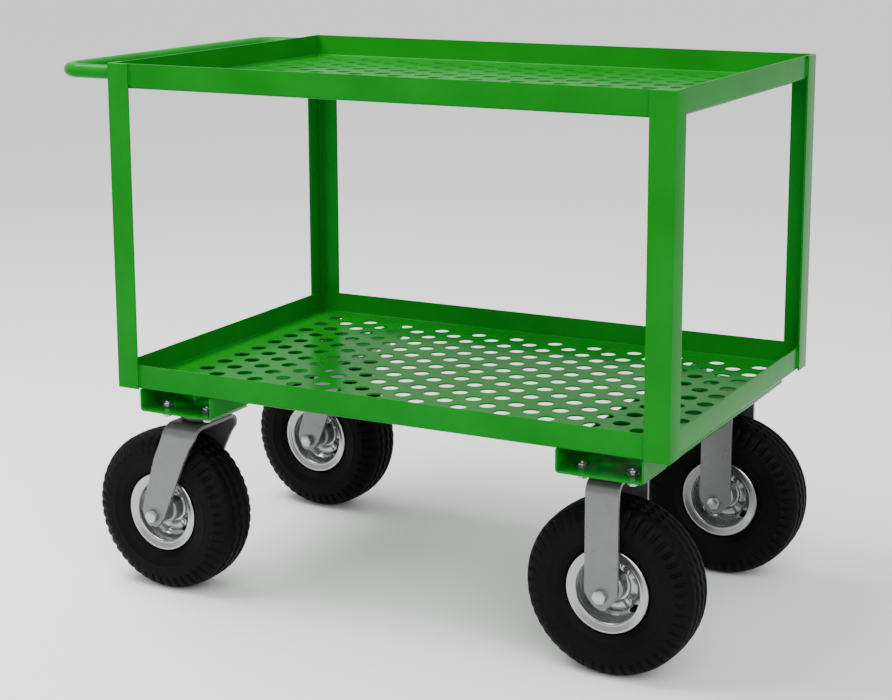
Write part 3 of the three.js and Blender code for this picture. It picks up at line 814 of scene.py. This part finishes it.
def rim_bolts(corner, place):
    # four clamp bolts through both halves, head outboard and nut inboard
    bm = bmesh.new()
    for i in range(4):
        one = bmesh.new()
        hexagon(one, 0.0095, 0.0069, 0.0112, 0.0006)
        threaded_end(one, 0.0030, 0.0108, 0.0138, pitch=0.001)
        hexagon(one, 0.0095, -0.0115, -0.0069, 0.0006)
        bmesh.ops.rotate(one, verts=one.verts, matrix=Matrix.Rotation(0.3 + 0.7 * i, 3, "Z"))
        bmesh.ops.rotate(one, verts=one.verts, matrix=Matrix.Rotation(math.pi / 2, 3, "X"))
        around = math.radians(38 + 90 * i)
        at = (0.0305 * math.sin(around), 0, 0.0305 * math.cos(around))
        bmesh.ops.translate(one, verts=one.verts, vec=at)
        mesh = bpy.data.meshes.new("rim_bolt")
        one.to_mesh(mesh)
        one.free()
        bm.from_mesh(mesh)
        bpy.data.meshes.remove(mesh)
    bmesh.ops.transform(bm, matrix=place, verts=bm.verts)
    name = f"{corner}_rim_clamp_bolts"
    return finish_piece(bm, name, bright_zinc, f"{corner}_wheel", [], sharp=32)


# ---- hubs and axles -------------------------------------------------------------------------
# A turned steel hub carries a ball bearing at each end, and a long axle bolt runs through
# fork and hub to a lock nut on the far leg.

turned_steel = zinc_plating("turned_steel", (0.24, 0.243, 0.246), 0.8, 0.32, 0.42, 0.15)


def hub(corner, place):
    bm = bmesh.new()
    half = [
        (0.0094, 0.0465), (0.0125, 0.0465), (0.0128, 0.0458), (0.0140, 0.0458), (0.0149, 0.0450),
        (0.0150, 0.0300), (0.0158, 0.0262), (0.0188, 0.0252), (0.0199, 0.0240), (0.0200, 0.0090),
    ]
    other = [(r, -y) for r, y in reversed(half)]
    spun(bm, ring_profile([*half, *other]), 56, axis="Y")
    bmesh.ops.transform(bm, matrix=place, verts=bm.verts)
    name = f"{corner}_turned_hub"
    return finish_piece(bm, name, turned_steel, f"{corner}_wheel", [f"{corner}_hub"], sharp=35)


def axle(corner, place, body):
    leg_face = 0.05815
    bm = bmesh.new()
    hexagon(bm, 0.0190, -leg_face - 0.0080, -leg_face, 0.0012)
    hexagon(bm, 0.0190, leg_face + 0.0002, leg_face + 0.0080, 0.0010)
    threaded_end(bm, 0.0063, leg_face + 0.0060, leg_face + 0.0110)
    shank = [
        (0.0, -leg_face + 0.0005), (0.0063, -leg_face + 0.0005), (0.0063, -0.0510), (0.0085, -0.0510),
        (0.0085, 0.0510), (0.0063, 0.0510), (0.0063, leg_face + 0.0065), (0.0, leg_face + 0.0065),
    ]
    spun(bm, shank, 32)
    bmesh.ops.rotate(bm, verts=bm.verts, matrix=Matrix.Rotation(0.35, 3, "Z"))
    bmesh.ops.rotate(bm, verts=bm.verts, matrix=Matrix.Rotation(-math.pi / 2, 3, "X"))
    bmesh.ops.transform(bm, matrix=place, verts=bm.verts)
    name = f"{corner}_axle_bolt"
    return finish_piece(bm, name, bright_zinc, body, [f"{corner}_axle"], sharp=32)


# ---- valve stems ----------------------------------------------------------------------------
# A rubber-covered stem comes out of the outboard rim half beside the disc, with a plain cap.
# It turns with the wheel.

def valve_stem(corner, place):
    radius = 0.0040
    bm = bmesh.new()
    stem = [
        (0.0, 0.0), (radius, 0.0), (radius, 0.0120), (0.0036, 0.0150), (0.0028, 0.0162),
        (0.0028, 0.0170), (0.0034, 0.0172), (0.0035, 0.0255), (0.0028, 0.0268), (0.0, 0.0270),
    ]
    spun(bm, stem, 24)
    bmesh.ops.rotate(bm, verts=bm.verts, matrix=Matrix.Rotation(math.pi / 2, 3, "X"))
    at = (0.0434 * math.sin(2.2), -0.0003, 0.0434 * math.cos(2.2))
    bmesh.ops.translate(bm, verts=bm.verts, vec=at)
    bmesh.ops.transform(bm, matrix=place, verts=bm.verts)
    name = f"{corner}_valve"
    node = f"{corner}_valve_stem"
    return finish_piece(bm, name, black_rubber, f"{corner}_wheel", [node], sharp=35)


for corner in ("rear_right", "rear_left", "front_right", "front_left"):
    spin = joints[f"{corner}_wheel_spin"]
    place = Matrix.Translation(spin["pos_m"]) @ Matrix.Rotation(wheel_yaw(corner), 4, "Z")
    tyre(corner, place)
    rim_half(corner, place, True)
    rim_half(corner, place, False)
    rim_bolts(corner, place)
    hub(corner, place)
    axle(corner, place, "frame" if corner.startswith("front") else f"{corner}_swivel")
    valve_stem(corner, place)


# ---- floor, light and camera ----------------------------------------------------------------
# A plain pale floor in an even white surround, with a broad softbox overhead, a small one at
# the front right, and a wide key that reaches in under the upper deck.

floor_bm = bmesh.new()
bmesh.ops.create_grid(floor_bm, x_segments=1, y_segments=1, size=40)
floor_mesh = bpy.data.meshes.new("floor")
floor_bm.to_mesh(floor_mesh)
floor_bm.free()
floor = bpy.data.objects.new("floor", floor_mesh)
bpy.context.scene.collection.objects.link(floor)
floor.location.z = -0.0005
pale = bpy.data.materials.new("pale_floor")
pale.use_nodes = True
pale.node_tree.nodes["Principled BSDF"].inputs["Base Color"].default_value = (0.86, 0.86, 0.86, 1)
pale.node_tree.nodes["Principled BSDF"].inputs["Roughness"].default_value = 0.8
floor_mesh.materials.append(pale)

world = bpy.data.worlds.new("studio")
bpy.context.scene.world = world
world.use_nodes = True
world.node_tree.nodes["Background"].inputs["Color"].default_value = (1, 1, 1, 1)
world.node_tree.nodes["Background"].inputs["Strength"].default_value = 0.80


def soft_light(name, at, towards, size, power):
    lamp = bpy.data.lights.new(name, "AREA")
    lamp.shape = "RECTANGLE"
    lamp.size, lamp.size_y = size
    lamp.energy = power
    holder = bpy.data.objects.new(name, lamp)
    bpy.context.scene.collection.objects.link(holder)
    holder.location = at
    holder.rotation_euler = (Vector(towards) - Vector(at)).to_track_quat("-Z", "Y").to_euler()


soft_light("overhead_softbox", (-1.2, -0.4, 2.9), (0, 0, 0.5), (2.2, 1.6), 150)
soft_light("key_softbox", (2.6, -1.6, 2.2), (0, 0, 0.5), (1.6, 1.6), 20)

key = bpy.data.lights.new("broad_key", "SUN")
key.energy = 2.2
key.angle = math.radians(50)
key_holder = bpy.data.objects.new("broad_key", key)
bpy.context.scene.collection.objects.link(key_holder)
key_holder.rotation_euler = Vector((-0.44, 0.63, -0.64)).to_track_quat("-Z", "Y").to_euler()

camera_data = bpy.data.cameras.new("camera")
camera = bpy.data.objects.new("camera", camera_data)
bpy.context.scene.collection.objects.link(camera)
bpy.context.scene.camera = camera
camera_data.lens = 77.522
camera_data.sensor_width = 36.0
camera_data.shift_y = -0.101
yaw, pitch, roll = 0.481802, 0.193294, -0.003263
camera.location = (1.394531, -2.659196, 1.113218)
ahead = Vector((-math.sin(yaw) * math.cos(pitch), math.cos(yaw) * math.cos(pitch), -math.sin(pitch)))
aim = ahead.to_track_quat("-Z", "Y")
camera.rotation_mode = "QUATERNION"
camera.rotation_quaternion = aim @ Matrix.Rotation(roll, 3, "Z").to_quaternion()
camera_data.clip_end = 100
